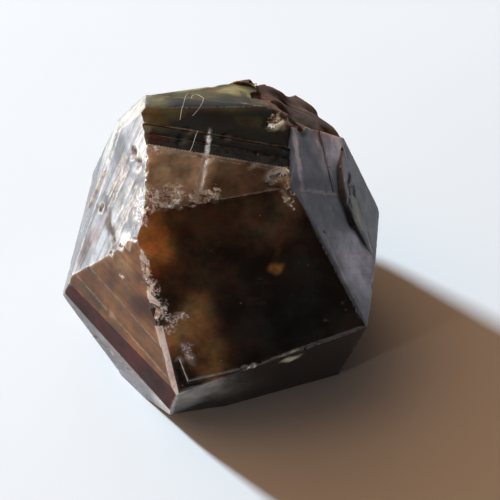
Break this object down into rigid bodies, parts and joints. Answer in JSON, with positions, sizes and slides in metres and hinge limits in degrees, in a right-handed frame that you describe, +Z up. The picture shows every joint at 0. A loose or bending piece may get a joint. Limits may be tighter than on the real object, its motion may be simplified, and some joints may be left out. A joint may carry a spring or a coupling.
{
  "type": "garnet crystal",
  "caption": "Loose dark brown garnet crystal, roughly equant, with flat rhombic and kite-shaped faces, growth ledges, striae and chipped edges, lying on one flat face.",
  "frame": {"origin": "middle of the resting side, under the centre of the bounding box", "axes": "+Z up out of the surface it lies on, -Y towards the viewer of the large front face, +X to that viewer's right"},
  "size_m": [0.0264, 0.0272, 0.0225],
  "materials": {
    "garnet": "dark brown to near black, amber and olive where light passes, glassy with satin striated faces"
  },
  "bodies": {
    "root": {"garnet_crystal": "garnet"}
  },
  "joints": []
}
